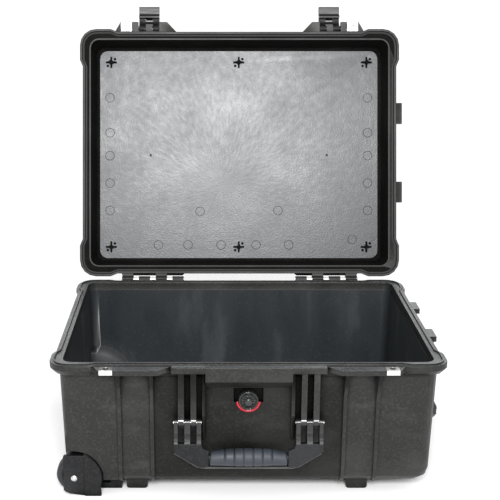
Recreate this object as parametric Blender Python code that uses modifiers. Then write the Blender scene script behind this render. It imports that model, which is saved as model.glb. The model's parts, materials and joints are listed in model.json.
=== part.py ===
"""Wheeled hard equipment case with its lid standing open, in metres, +Z up.

Every shape below is written in one set of coordinates, those of the closed case: the middle of
the base at floor level is the zero point, +X runs to the right end and -Y to the front. Frames
(empties on the joint axes) then swing the lid and the latches open.
"""
import math

import bmesh
import bpy
from mathutils import Matrix, Vector

# Rim and walls of the two shells
RIM_X, RIM_Y = 0.2809, 0.2166
RIM_Z = 0.2080
RIM_GAP = 0.0003
CORNER = 0.0290
CORNER_STEPS = 4
LEAST_CORNER = 0.0140
BULGE = 0.0050
BULGE_RUN, BULGE_SLOPE = 0.0500, 0.0120
BAND = 0.0155
WALL_IN_TOP, WALL_IN_FOOT = 0.0083, 0.0141
UNDERSIDE = 0.0175
FOOT_ROUND = 0.0240
FLOOR_TOP = 0.0240
FLOOR_ROUND = 0.0120
INNER_IN_TOP, INNER_IN_FOOT = 0.0162, 0.0203
TONGUE_IN, TONGUE_OUT, TONGUE_TOP = 0.0075, 0.0050, 0.2101
LID_TOP = 0.2600
LID_ROUND = 0.0140
LID_RAISED = 0.2645
LID_PANEL = 0.2528
GROOVE_OUT, GROOVE_IN, GROOVE_TOP = 0.0040, 0.0085, 0.2128
GASKET_SIDE_GAP, GASKET_LOW, GASKET_HIGH = 0.0003, 0.2107, 0.2125
POST_X, POST_Y, POST_R = 0.2330, 0.1685, 0.0036
POST_WEB_HALF, POST_WEB_REACH = 0.0013, 0.0098

# Lid hinge
HINGE_Y, HINGE_Z = 0.2266, 0.2080
LID_OPEN = math.radians(104.5)
HINGE_CENTRES = (-0.1550, 0.1550)
HINGE_HALF = 0.0560
KNUCKLE_WIDTH = 0.0200
HINGE_PIN_R = 0.0025
BORE_GAP = 0.00025

# Front boss, latches and padlock plates
BOSS_Y = 0.2341
BOSS_LOW, BOSS_HIGH = 0.1985, 0.2062
LID_BOSS_LOW, LID_BOSS_HIGH = 0.2086, 0.2170
STEP_Y = 0.2266
LATCH_X = 0.1625
LATCH_HALF = 0.0183
LATCH_Y, LATCH_Z = 0.2236, 0.2190
LATCH_SLOT_HALF = 0.0064
LATCH_LUG_HALF, LATCH_LUG_R = 0.0058, 0.0056
LATCH_SWUNG_OUT = math.radians(90)
LEVER_Y, LEVER_Z = 0.2401, 0.1980
LATCH_PIN_R, LEVER_PIN_R = 0.0020, 0.0015
PLATE_X, PLATE_HALF = 0.2025, 0.0095
PLATE_THICK = 0.0015
PLATE_HOLE_R = 0.0045
RIB_XS = (0.1390, 0.1860)
RIB_WIDTH = 0.0050

# Carry handles: places along the front wall, and how much closer to its middle the end one is
HANDLE_Y, HANDLE_Z = 0.2211, 0.1230
HANDLE_PIN_R = 0.0025
FINGERS = ((0.0680, 0.0745), (0.0835, 0.0920), (0.1015, 0.1070))
HANDLE_RIBS = ((0.0750, 0.0830), (0.0925, 0.1010))
GRIP_Y, GRIP_Z = 0.2256, 0.0710
GRIP_HALF, GRIP_R, GRIP_END_R = 0.0550, 0.0130, 0.0100
GRIP_CORE_R = 0.0060
END_CLOSER = 0.0160
END_SHIFT = RIM_X - RIM_Y

# Wheels
AXLE_X, AXLE_Z = -0.2545, 0.0275
WHEEL_R, WHEEL_HALF, WHEEL_Y = 0.0272, 0.0115, 0.1826
WELL_R, WELL_INNER_R, NOTCH_R = 0.0590, 0.0660, 0.0428
HOUSING_R = 0.0414
AXLE_R, AXLE_HEAD_R = 0.0030, 0.0047
SCREW_X, SCREW_Z = -0.2280, 0.0535
TONGUE_BLOCK_TOP = 0.0125

# Pull handle under the floor, drawn out of the right end
PULL_Y, PULL_HALF = 0.0620, 0.0100
PULL_LOW, PULL_HIGH = 0.0040, 0.0125
PULL_GUIDE_ENDS = (-0.2200, 0.1700)
PULL_ARM_ENDS = (-0.2150, 0.2540)

# Purge valve
VALVE_Z = 0.1515
VALVE_R, VALVE_RING_R = 0.0142, 0.0184
VALVE_WALL_Y, VALVE_SEAT_Y = 0.2022, 0.2070
VALVE_STEM_R, VALVE_SEAT_R = 0.0070, 0.0150
VALVE_RECESS_X, VALVE_RECESS_Z = 0.0215, (0.1480, 0.1702)

# Middle of the open case's footprint, which is the part's zero point
FOOTPRINT_X, FOOTPRINT_Y = 0.0085, 0.0725

CASE = "equipment_case"
HELPERS = "case_cutters"


def clear_scene():
    for old in list(bpy.data.objects):
        bpy.data.objects.remove(old, do_unlink=True)


def new_collection(name, parent):
    made = bpy.data.collections.new(name)
    parent.children.link(made)
    return made


def new_material(name, colour, roughness, metallic=0.0):
    made = bpy.data.materials.new(name)
    made.use_nodes = True
    shader = made.node_tree.nodes["Principled BSDF"]
    shader.inputs["Base Color"].default_value = (*colour, 1.0)
    shader.inputs["Roughness"].default_value = roughness
    shader.inputs["Metallic"].default_value = metallic
    return made


class Frame:
    """An empty on a joint axis, and the place of that axis on the closed case."""

    def __init__(self, name, origin, parent=None, turn=(0.0, 0.0, 0.0), shift=(0.0, 0.0, 0.0)):
        self.origin = Vector(origin)
        self.empty = bpy.data.objects.new(name, None)
        self.empty.rotation_euler = turn
        parts.objects.link(self.empty)
        if parent:
            self.empty.parent = parent.empty
            self.empty.location = self.origin - parent.origin + Vector(shift)
        else:
            self.empty.location = Vector(shift)

    def hold(self, obj):
        obj.parent = self.empty
        obj.location = obj.location - self.origin
        return obj


def object_of(name, bm):
    """A mesh object in the parts collection, made from a bmesh that is then freed."""
    bmesh.ops.recalc_face_normals(bm, faces=bm.faces)
    mesh = bpy.data.meshes.new(name)
    bm.to_mesh(mesh)
    bm.free()
    made = bpy.data.objects.new(name, mesh)
    parts.objects.link(made)
    return made


def loop(inset, z, bulge=0.0):
    """Level loop of the case's outline, inset from the rim; its corners stand out by bulge."""
    half_x, half_y = RIM_X - inset, RIM_Y - inset
    corner = max(CORNER - inset, LEAST_CORNER)
    middle_x, middle_y = half_x + bulge - corner, half_y + bulge - corner
    run = max(BULGE_RUN - inset, corner + 0.0020)
    slope = run + BULGE_SLOPE
    quarter = [(half_x, half_y - slope), (half_x + bulge, half_y - run)]
    for step in range(CORNER_STEPS + 1):
        turn = math.pi / 2 * step / CORNER_STEPS
        quarter.append((middle_x + corner * math.cos(turn), middle_y + corner * math.sin(turn)))
    quarter += [(half_x - run, half_y + bulge), (half_x - slope, half_y)]
    back = quarter[::-1]
    points = quarter + [(-x, y) for x, y in back] + [(-x, -y) for x, y in quarter]
    points += [(x, -y) for x, y in back]
    return [Vector((x, y, z)) for x, y in points]


def loft(name, loops, ring=False):
    """Closed solid through loops of equal length: capped at both ends, or joined into a ring."""
    bm = bmesh.new()
    rows = [[bm.verts.new(point) for point in points] for points in loops]
    pairs = list(zip(rows, rows[1:]))
    if ring:
        pairs.append((rows[-1], rows[0]))
    for low, high in pairs:
        for i in range(len(low)):
            j = (i + 1) % len(low)
            bm.faces.new((low[i], low[j], high[j], high[i]))
    if not ring:
        bm.faces.new(rows[0])
        bm.faces.new(rows[-1])
    return object_of(name, bm)


def fillet(inset, z, radius, up, steps=3):
    """(inset, z) pairs round a bottom or top edge, from the level face to the wall."""
    pairs = []
    for step in range(steps + 1):
        turn = math.pi / 2 * step / steps
        pairs.append((inset + radius * (1 - math.sin(turn)), z + up * radius * (1 - math.cos(turn))))
    return pairs


def box(name, x, y, z, bevel=0.0):
    """Block between the given (low, high) pairs, with rounded edges if bevel is given."""
    bm = bmesh.new()
    bmesh.ops.create_cube(bm, size=1.0)
    size = Vector((x[1] - x[0], y[1] - y[0], z[1] - z[0]))
    centre = Vector((x[1] + x[0], y[1] + y[0], z[1] + z[0])) / 2
    bmesh.ops.transform(bm, matrix=Matrix.LocRotScale(centre, None, size), verts=bm.verts)
    made = object_of(name, bm)
    if bevel:
        rounding = made.modifiers.new("rounded_edges", "BEVEL")
        rounding.width = bevel
        rounding.segments = 1
    return made


def rod(name, radius, start, end, sides=12):
    """Round bar between two points."""
    start, end = Vector(start), Vector(end)
    along = end - start
    turn = Vector((0, 0, 1)).rotation_difference(along).to_matrix().to_4x4()
    bm = bmesh.new()
    bmesh.ops.create_cone(
        bm, cap_ends=True, segments=sides, radius1=radius, radius2=radius, depth=along.length
    )
    bmesh.ops.transform(bm, matrix=Matrix.Translation((start + end) / 2) @ turn, verts=bm.verts)
    made = object_of(name, bm)
    made.data.shade_smooth()
    made.data.set_sharp_from_angle(angle=math.radians(40))
    return made


def as_mesh(curve_object):
    """The mesh object that a curve object makes, welded, in its place."""
    bpy.context.view_layer.update()
    evaluated = curve_object.evaluated_get(bpy.context.evaluated_depsgraph_get())
    mesh = bpy.data.meshes.new_from_object(evaluated)
    bm = bmesh.new()
    bm.from_mesh(mesh)
    bmesh.ops.remove_doubles(bm, verts=bm.verts, dist=1e-6)
    bmesh.ops.transform(bm, matrix=curve_object.matrix_world, verts=bm.verts)
    name = curve_object.name
    bpy.data.objects.remove(curve_object)
    return object_of(name, bm)


# Each gives a flat outline's first, second and thickness directions
FACING = {
    "x": Matrix(((0, 0, 1), (1, 0, 0), (0, 1, 0))),
    "y": Matrix(((1, 0, 0), (0, 0, -1), (0, 1, 0))),
    "z": Matrix.Identity(3),
}


def plate(name, outline, facing, low, high):
    """Flat outline made thick from low to high along an axis; its points lie in the other two."""
    curve = bpy.data.curves.new(name, "CURVE")
    curve.dimensions = "2D"
    curve.fill_mode = "BOTH"
    curve.extrude = (high - low) / 2
    line = curve.splines.new("POLY")
    line.points.add(len(outline) - 1)
    for point, (first, second) in zip(line.points, outline):
        point.co = (first, second, 0.0, 1.0)
    line.use_cyclic_u = True
    made = bpy.data.objects.new(name, curve)
    parts.objects.link(made)
    middle = Vector(FACING[facing].col[2]) * (high + low) / 2
    if facing == "y":
        middle = -middle
    made.matrix_world = Matrix.Translation(middle) @ FACING[facing].to_4x4()
    return as_mesh(made)


def turned(name, profile, facing, centre, steps=24, closed=False):
    """Profile of (radius, height) pairs turned round an axis, from the top down its outside."""
    bm = bmesh.new()
    points = [bm.verts.new((radius, 0.0, height)) for radius, height in profile]
    for first, second in zip(points, points[1:]):
        bm.edges.new((first, second))
    if closed:
        bm.edges.new((points[-1], points[0]))
    mesh = bpy.data.meshes.new(name)
    bm.to_mesh(mesh)
    bm.free()
    made = bpy.data.objects.new(name, mesh)
    parts.objects.link(made)
    screw = made.modifiers.new("turned", "SCREW")
    screw.steps = screw.render_steps = steps
    screw.use_merge_vertices = True
    screw.merge_threshold = 0.00005
    screw.use_smooth_shade = True
    made.matrix_world = Matrix.Translation(centre) @ FACING[facing].to_4x4()
    return made


def wire(name, points, radius):
    """Round moulded bead along straight runs."""
    curve = bpy.data.curves.new(name, "CURVE")
    curve.dimensions = "3D"
    curve.bevel_depth = radius
    curve.bevel_resolution = 1
    curve.use_fill_caps = True
    line = curve.splines.new("POLY")
    line.points.add(len(points) - 1)
    for point, place in zip(line.points, points):
        point.co = (*place, 1.0)
    made = bpy.data.objects.new(name, curve)
    parts.objects.link(made)
    return as_mesh(made)


def combine(target, operation, helpers):
    """Joins the helpers to the target, or cuts them from it, with one Boolean."""
    group = new_collection(f"{target.name}_{operation.lower()}", cutters)
    for helper in helpers:
        parts.objects.unlink(helper)
        group.objects.link(helper)
        helper.hide_render = True
        helper.display_type = "WIRE"
    boolean = target.modifiers.new(operation.lower(), "BOOLEAN")
    boolean.operation = operation
    boolean.operand_type = "COLLECTION"
    boolean.collection = group
    boolean.solver = "EXACT"


def finish(obj, frame, material):
    obj.data.materials.append(material)
    return frame.hold(obj)


def mirrored(outline):
    return [(-first, second) for first, second in outline]


def around(centre, radius, start, end, steps):
    """Points on an arc, angles in degrees."""
    turns = [math.radians(start + (end - start) * step / steps) for step in range(steps + 1)]
    return [(centre[0] + radius * math.cos(t), centre[1] + radius * math.sin(t)) for t in turns]


# ---------------------------------------------------------------- base shell


def rib_outline(top_y, top_z):
    """Side view of a wall rib: a gusset under the rim, then a low rib down and under the base."""
    middle = (RIM_Y - WALL_IN_FOOT - FOOT_ROUND, UNDERSIDE + FOOT_ROUND)
    outside = around(middle, FOOT_ROUND + 0.0030, 0, 90, 3)
    inside = around(middle, FOOT_ROUND - 0.0040, 90, 0, 2)
    down = [(y, 2 * middle[1] - z) for y, z in outside]
    back = [(y, 2 * middle[1] - z) for y, z in inside]
    front = [(top_y, top_z), (0.2110, 0.1550)]
    return front + down + [(0.1720, down[-1][1]), (0.1720, back[0][1])] + back + [(0.2020, top_z)]


def front_boss_outline():
    """Plan of the base's front boss: latch catches at both sides, a lower step between them."""
    right = [(0.1100, -STEP_Y), (0.1100, -0.2174), (0.1125, -0.2174), (0.1300, -BOSS_Y)]
    right += [(0.2130, -BOSS_Y), (0.2230, -0.2140), (0.2230, -0.2080)]
    return right + [(-x, y) for x, y in reversed(right)]


def lid_boss_outline():
    return [
        (0.1110, -0.2141),
        (0.1300, -BOSS_Y),
        (0.2130, -BOSS_Y),
        (0.2230, -0.2168),
        (0.2110, -0.2141),
    ]


def handle_rib_outline(depth, foot_z):
    """Side view of a rib with a round knuckle for the handle's pin, as (y, z) on the front wall."""
    knuckle = around((-HANDLE_Y, HANDLE_Z), 0.0056, 130, 265, 4)
    upper = [(-0.2020, 0.2003), (-depth, 0.2003), (-depth, 0.1300)]
    return upper + knuckle + [(-0.2125, 0.1080), (-0.2085, foot_z + 0.0040), (-0.1990, foot_z)]


def thin_rib_outline():
    """Side view of the thin rib inside a handle's fingers."""
    top = [(-0.2020, 0.2003), (-0.2186, 0.2003), (-0.2150, 0.1300)]
    return top + [(-0.2065, 0.0900), (-0.1990, 0.0900)]


def handle_seat(frame, name, closer):
    """Ribs, step and bead of the wall behind one carry handle, joined to the base shell."""
    added, bores = [], []
    for side in (-1, 1):
        label = f"{name}_{'left' if side < 0 else 'right'}"
        for number, (near, far) in enumerate(HANDLE_RIBS):
            ends = sorted((side * (near - closer), side * (far - closer)))
            outline = handle_rib_outline(0.2235, 0.0700 - 0.0060 * number)
            added.append(plate(f"{label}_rib_{number}", outline, "x", *ends))
        ends = sorted((side * (0.0620 - closer), side * (0.0665 - closer)))
        added.append(plate(f"{label}_thin_rib", thin_rib_outline(), "x", *ends))
        inner, outer = FINGERS[0][0] - closer - 0.0005, FINGERS[2][1] - closer + 0.0015
        start, end = (side * inner, -HANDLE_Y, HANDLE_Z), (side * outer, -HANDLE_Y, HANDLE_Z)
        bores.append(rod(f"{label}_bore", HANDLE_PIN_R + BORE_GAP, start, end))
    return [frame.hold(piece) for piece in added], [frame.hold(piece) for piece in bores]


def wheel_well(side):
    """Hood over one wheel inside the base, and the pocket and notch that open it outside."""
    arc = around((AXLE_X, AXLE_Z), WELL_INNER_R, 0, 98, 9)
    foot, left = FLOOR_TOP - 0.0010, -0.2660
    outline = [(left, foot), (arc[0][0], foot)] + arc + [(left, arc[-1][1])]
    hood_ends = sorted((side * 0.2000, side * 0.1520))
    hood = plate(f"wheel_hood_{side}", outline, "y", *hood_ends)
    roof = around((AXLE_X, AXLE_Z), WELL_R, -28, 92, 10)
    inner_left = -0.2590
    hollow = [(inner_left, -0.0050), (roof[0][0], -0.0050)] + roof + [(inner_left, roof[-1][1])]
    pocket_ends = sorted((side * 0.1985, side * 0.1590))
    pocket = plate(f"wheel_pocket_{side}", hollow, "y", *pocket_ends)
    notch_ends = along_y(AXLE_X, AXLE_Z, side, 0.2300, 0.1591)
    notch = rod(f"wheel_notch_{side}", NOTCH_R, *notch_ends, sides=36)
    screw_hole = rod(f"screw_hole_{side}", 0.0023, *along_y(SCREW_X, SCREW_Z, side, 0.1646, 0.1530))
    return hood, [pocket, notch, screw_hole]


def base_shell():
    outside = fillet(WALL_IN_FOOT, UNDERSIDE, FOOT_ROUND, up=1)
    inside = fillet(INNER_IN_FOOT, FLOOR_TOP, FLOOR_ROUND, up=1)
    loops = [loop(inset, z) for inset, z in outside]
    loops += [loop(WALL_IN_TOP, RIM_Z - BAND), loop(0.0, RIM_Z - BAND)]
    loops += [loop(0.0, RIM_Z - 0.0080, BULGE), loop(0.0, RIM_Z - 0.0010, BULGE)]
    loops += [loop(0.0010, RIM_Z, BULGE), loop(TONGUE_OUT, RIM_Z, BULGE)]
    loops += [loop(TONGUE_OUT + 0.0002, TONGUE_TOP, BULGE)]
    loops += [loop(TONGUE_IN - 0.0002, TONGUE_TOP, BULGE), loop(TONGUE_IN, RIM_Z, BULGE)]
    loops += [loop(0.0135, RIM_Z), loop(0.0140, RIM_Z - 0.0005), loop(0.0142, 0.1960)]
    loops += [loop(INNER_IN_TOP, 0.1945)]
    loops += [loop(inset, z) for inset, z in reversed(inside)]
    return loft("base_shell", loops)


def base_fittings():
    """Pieces moulded onto the base shell, and what is cut out of it."""
    added = [plate("front_boss", front_boss_outline(), "z", BOSS_LOW, BOSS_HIGH)]
    block = [(-0.2020, 0.2074), (-0.2286, 0.2074), (-0.2286, 0.1870)]
    block += [(-0.2110, 0.1730), (-0.2020, 0.1730)]
    added.append(plate("centre_block", block, "x", -0.0618, 0.0618))
    low_gusset, plain = rib_outline(0.2316, 0.1988), rib_outline(0.2125, RIM_Z - BAND + 0.0004)
    cut = []
    for side in (-1, 1):
        for x in RIB_XS:
            ends = (side * x - RIB_WIDTH / 2, side * x + RIB_WIDTH / 2)
            added.append(plate(f"front_rib_{side * x:.3f}", mirrored(low_gusset), "x", *ends))
            added.append(plate(f"rear_rib_{side * x:.3f}", plain, "x", *ends))
        added.append(box(f"bracket_step_{side}", *bracket_box(side * 0.0860, 0.0240)))
        added += feet(side)
        cut += padlock_seat(side, low=True)
        hood, openings = wheel_well(side)
        added.append(hood)
        cut += openings
    bead = [(0.1070, 0.0680), (0.0740, 0.0470), (0.0640, 0.0450)]
    bead += [(-x, z) for x, z in reversed(bead)]
    added.append(wire("front_bead", [(x, -0.2044, z) for x, z in bead], 0.0020))
    for y in (-0.0700, 0.0700):
        ends = (y - RIB_WIDTH / 2, y + RIB_WIDTH / 2)
        added.append(plate(f"end_rib_{y:.3f}", left_rib_outline(), "y", *ends))
    added.append(box("pull_well", (0.2230, 0.2640), (-0.0840, 0.0840), (0.0200, 0.0580)))
    cut.append(box("pull_recess", (0.2305, 0.3000), (-0.0765, 0.0765), (-0.0050, 0.0505)))
    seat = (0, -0.1990, VALVE_Z), (0, -VALVE_SEAT_Y, VALVE_Z)
    added.append(rod("valve_seat", VALVE_SEAT_R, *seat, sides=24))
    face = (0, -0.2300, VALVE_Z), (0, -VALVE_SEAT_Y + 0.0002, VALVE_Z)
    cut.append(rod("valve_face", VALVE_RING_R + 0.0006, *face, sides=24))
    cut.append(plate("valve_recess", valve_recess_outline(), "y", -0.2300, -VALVE_WALL_Y))
    cut.append(rod("valve_bore", VALVE_STEM_R + BORE_GAP, (0, -0.2200, VALVE_Z), (0, -0.1850, VALVE_Z)))
    return added, cut


def bracket_box(x, half):
    return (x - half, x + half), (-STEP_Y, -0.2080), (0.1990, 0.2074)


def left_rib_outline():
    """The plain wall rib seen from the front, on the left end, above the underside."""
    return [
        (-0.2680, RIM_Z - BAND + 0.0004),
        (-0.2760, RIM_Z - BAND + 0.0004),
        (-0.2705, 0.0450),
        (-0.2640, 0.0450),
    ]


def feet(side):
    """The front and rear foot at one side."""
    low = [(0.1478, 0.0200)] + around((0.1518, 0.0040), 0.0040, 180, 270, 2)
    low += around((0.1752, 0.0040), 0.0040, 270, 360, 2) + [(0.1792, 0.0200)]
    outline = [(side * x, z) for x, z in low]
    pairs = ((-0.1791, -0.1391), (0.1391, 0.1791))
    return [plate(f"foot_{side}_{ends[0]:.3f}", outline, "y", *ends) for ends in pairs]


def padlock_seat(side, low):
    """Cuts that seat a padlock plate on the boss, for the base or for the lid."""
    x = (side * PLATE_X - PLATE_HALF - 0.0003, side * PLATE_X + PLATE_HALF + 0.0003)
    level = (0.2046, 0.2110) if low else (0.2050, 0.2103)
    front = (0.1960, 0.2110) if low else (0.2050, 0.2190)
    name = f"padlock_{'base' if low else 'lid'}_{side}"
    hole = (side * PLATE_X, -0.2251)
    return [
        box(f"{name}_top", x, (-0.2370, -0.2175), level),
        box(f"{name}_front", x, (-0.2370, -0.2322), front),
        rod(f"{name}_hole", PLATE_HOLE_R + 0.0005, (*hole, 0.1900), (*hole, 0.2250)),
    ]


def base_knuckle_outline():
    """A base knuckle from the end: three quarters of a circle on an arm from the rim."""
    arc = around((HINGE_Y, HINGE_Z), 0.0055, -45, 183, 7)
    return [(0.2100, 0.1960), (0.2196, 0.1960)] + arc + [(0.2100, 0.2076)]


def lid_knuckle_outline():
    arc = around((HINGE_Y, HINGE_Z), 0.0055, 172, 395, 7)
    return [(0.2141, 0.2210), (0.2141, 0.2089)] + arc + [(0.2286, 0.2150), (0.2196, 0.2210)]


def hinge_knuckles(offsets, outline, name):
    made = []
    for centre in HINGE_CENTRES:
        hand = math.copysign(1, centre)
        for offset in offsets:
            x = centre + hand * offset
            ends = (x - KNUCKLE_WIDTH / 2, x + KNUCKLE_WIDTH / 2)
            made.append(plate(f"{name}_{x:.3f}", outline, "x", *ends))
    return made


def hinge_bore(name):
    ends = HINGE_CENTRES[1] + HINGE_HALF + 0.0050
    start, end = (-ends, HINGE_Y, HINGE_Z), (ends, HINGE_Y, HINGE_Z)
    return rod(name, HINGE_PIN_R + BORE_GAP, start, end)


# ---------------------------------------------------------------- lid shell


def lid_shell():
    top = fillet(0.0100, LID_TOP, LID_ROUND, up=-1)
    rim = RIM_Z + RIM_GAP
    loops = [loop(inset, z) for inset, z in top]
    loops += [loop(0.0065, rim + BAND), loop(0.0, rim + BAND)]
    loops += [loop(0.0, rim + 0.0080, BULGE), loop(0.0, rim + 0.0010, BULGE)]
    loops += [loop(0.0010, rim, BULGE), loop(GROOVE_OUT, rim, BULGE)]
    loops += [loop(GROOVE_OUT, GROOVE_TOP, BULGE), loop(GROOVE_IN, GROOVE_TOP, BULGE)]
    loops += [loop(GROOVE_IN, rim + 0.0010, BULGE), loop(0.0117, rim + 0.0010)]
    loops += [loop(0.0120, rim), loop(0.0145, rim), loop(0.0151, rim + 0.0008)]
    loops += [loop(0.0153, 0.2160), loop(0.0206, 0.2468)]
    loops += [loop(0.0226, 0.2510), loop(0.0275, LID_PANEL)]
    return loft("lid_shell", loops)


def screw_boss(number, x, y):
    """Post on the lid's panel with four webs, for an inner panel's screw."""
    tall, foot = LID_PANEL - 0.0100, LID_PANEL + 0.0020
    post = rod(f"post_{number}", POST_R, (x, y, tall), (x, y, foot))
    web = [(POST_WEB_REACH, foot), (POST_WEB_REACH, 0.2490), (POST_R, tall + 0.0015)]
    web += [(-u, z) for u, z in reversed(web)]
    ends = (-POST_WEB_HALF, POST_WEB_HALF)
    along = plate(f"post_web_x_{number}", [(x + u, z) for u, z in web], "y", *(y + end for end in ends))
    across_y = plate(f"post_web_y_{number}", [(y + u, z) for u, z in web], "x", *(x + end for end in ends))
    return [post, along, across_y]


def latch_cheek_outline():
    """Gusset on the lid beside a latch, which carries the latch's pin."""
    return [
        (-0.2076, 0.2170),
        (-0.2136, 0.2140),
        (-0.2141, 0.2090),
        (-0.2316, 0.2090),
        (-0.2316, 0.2180),
        (-0.2281, 0.2240),
        (-0.2206, 0.2260),
        (-0.2106, 0.2460),
        (-0.2056, 0.2480),
    ]


def latch_lug_outline():
    """Side view of the lug in the middle of a latch, round the latch's pin."""
    nose = around((-LATCH_Y, LATCH_Z), LATCH_LUG_R, 90, 270, 6)
    return nose + [(-0.2120, LATCH_Z - LATCH_LUG_R), (-0.2120, LATCH_Z + 0.0075), (-0.2160, LATCH_Z + 0.0075)]


def lid_fittings():
    added, cut = [], []
    ridge = (LID_TOP - 0.0030, LID_RAISED)
    raised = [plate("top_rib_centre", lid_top_outline(0.1160, 0.1500), "z", *ridge)]
    for side in (-1, 1):
        for x in RIB_XS:
            ends = (side * x - RIB_WIDTH / 2, side * x + RIB_WIDTH / 2)
            name = f"top_rib_{side * x:.3f}"
            raised.append(box(name, ends, (-0.1820, 0.1820), ridge))
        outline = [(side * x, y) for x, y in lid_boss_outline()]
        added.append(plate(f"lid_boss_{side}", outline, "z", LID_BOSS_LOW, LID_BOSS_HIGH))
        near, far = LATCH_X - LATCH_HALF - 0.0005, LATCH_X + LATCH_HALF + 0.0005
        for ends in ((near - 0.0065, near - 0.0002), (far + 0.0002, far + 0.0065)):
            spread = sorted((side * ends[0], side * ends[1]))
            added.append(plate(f"latch_cheek_{side}_{ends[0]:.3f}", latch_cheek_outline(), "x", *spread))
        middle = side * LATCH_X
        lug = (middle - LATCH_LUG_HALF, middle + LATCH_LUG_HALF)
        added.append(plate(f"latch_lug_{side}", latch_lug_outline(), "x", *lug))
        gaps = (min(side * near, side * far), lug[0]), (lug[1], max(side * near, side * far))
        for number, gap in enumerate(gaps):
            cut.append(box(f"latch_gap_{side}_{number}", gap, (-0.2450, -0.2170), (0.2050, 0.2300)))
        under_lug = (-0.2450, -0.2170), (0.2050, LATCH_Z - LATCH_LUG_R)
        cut.append(box(f"latch_gap_{side}_low", lug, *under_lug))
        before_lug = (-0.2450, -LATCH_Y - LATCH_LUG_R), (0.2060, 0.2300)
        cut.append(box(f"latch_gap_{side}_front", lug, *before_lug))
        bore_ends = across(middle, LATCH_HALF + 0.0085, LATCH_Y, LATCH_Z)
        cut.append(rod(f"latch_bore_{side}", LATCH_PIN_R + BORE_GAP, *bore_ends))
        cut += padlock_seat(side, low=False)
        bump = sorted((side * 0.0520, side * 0.0890))
        added.append(box(f"end_bump_{side}", (0.2784, 0.2909), bump, (0.2088, 0.2205)))
        added.append(plate(f"hinge_bar_{side}", hinge_bar_outline(side), "z", 0.2125, 0.2216))
    places = [(x, y) for y in (-POST_Y, POST_Y) for x in (-POST_X, 0.0, POST_X)]
    for number, (x, y) in enumerate(places):
        added += screw_boss(number, x, y)
    return added + raised, cut


def hinge_bar_outline(side):
    """Plan of the thick bar at the lid's rear rim, which a hinge's knuckles stand on."""
    half = [(HINGE_HALF, 0.2141), (HINGE_HALF, 0.2176), (HINGE_HALF - 0.0040, 0.2201)]
    centre = HINGE_CENTRES[0 if side < 0 else 1]
    return [(centre + x, y) for x, y in half] + [(centre - x, y) for x, y in reversed(half)]


def lid_top_outline(half_x, half_y):
    corner = 0.0200
    return [
        (half_x, -half_y + corner),
        (half_x, half_y - corner),
        (half_x - corner, half_y),
        (-half_x + corner, half_y),
        (-half_x, half_y - corner),
        (-half_x, -half_y + corner),
        (-half_x + corner, -half_y),
        (half_x - corner, -half_y),
    ]


def gasket():
    out, inner = GROOVE_OUT + GASKET_SIDE_GAP, GROOVE_IN - GASKET_SIDE_GAP
    loops = [loop(out, GASKET_LOW + 0.0006, BULGE), loop(out, GASKET_HIGH, BULGE)]
    loops += [loop(inner, GASKET_HIGH, BULGE), loop(inner, GASKET_LOW + 0.0006, BULGE)]
    loops += [loop((out + inner) / 2, GASKET_LOW, BULGE)]
    return loft("lid_gasket", loops, ring=True)


# ---------------------------------------------------------------- latches and small metal parts


def padlock_plate(side, low):
    """Bent sheet over the boss: a level top with the padlock hole and a front flange."""
    place = "base" if low else "lid"
    name = f"padlock_plate_{place}_{'left' if side < 0 else 'right'}"
    level, away = (0.2064, -1) if low else (0.2085, 1)
    flange = level + away * 0.0072
    back, front = -0.2178, -0.2340
    outline = [
        (back, level),
        (front, level),
        (front, flange),
        (front + PLATE_THICK, flange),
        (front + PLATE_THICK, level + away * PLATE_THICK),
        (back, level + away * PLATE_THICK),
    ]
    made = plate(name, outline, "x", side * PLATE_X - PLATE_HALF, side * PLATE_X + PLATE_HALF)
    hole_x, hole_y = side * PLATE_X, -0.2251
    hole = rod(f"{name}_hole", PLATE_HOLE_R, (hole_x, hole_y, 0.1950), (hole_x, hole_y, 0.2200))
    return made, hole


def latch_jaw(side):
    """C-shaped jaw hung on the lid: two arms at its pin, one front plate, two lower knuckles."""
    outline = [
        (0.0028, 0.0034),
        (0.0044, 0.0),
        (0.0028, -0.0034),
        (-0.0020, -0.0055),
        (-0.0095, -0.0094),
        (-0.0122, -0.0130),
        (-0.0126, -0.0177),
    ]
    outline += around((LATCH_Y - LEVER_Y, LEVER_Z - LATCH_Z), 0.0034, 15, -195, 6)
    outline += [(-0.0178, -0.0120), (-0.0165, -0.0040), (-0.0120, 0.0015)]
    outline += [(-0.0060, 0.0042), (-0.0010, 0.0044)]
    outline = [(y - LATCH_Y, z + LATCH_Z) for y, z in outline]
    middle = side * LATCH_X
    made = plate(f"latch_jaw_{name_of(side)}", outline, "x", middle - LATCH_HALF, middle + LATCH_HALF)
    slot = (middle - LATCH_SLOT_HALF, middle + LATCH_SLOT_HALF)
    cut = [
        box(f"jaw_slot_{side}", slot, (-LATCH_Y - 0.0100, -LATCH_Y + 0.0100), (0.1900, 0.2300)),
        box(f"jaw_foot_{side}", slot, (-0.2500, -0.2240), (0.1900, LATCH_Z - 0.0160)),
        rod(f"jaw_bore_{side}", LATCH_PIN_R + BORE_GAP, *across(middle, 0.0250, LATCH_Y, LATCH_Z)),
        rod(f"jaw_low_bore_{side}", LEVER_PIN_R + BORE_GAP, *across(middle, 0.0250, LEVER_Y, LEVER_Z)),
    ]
    return made, cut


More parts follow.
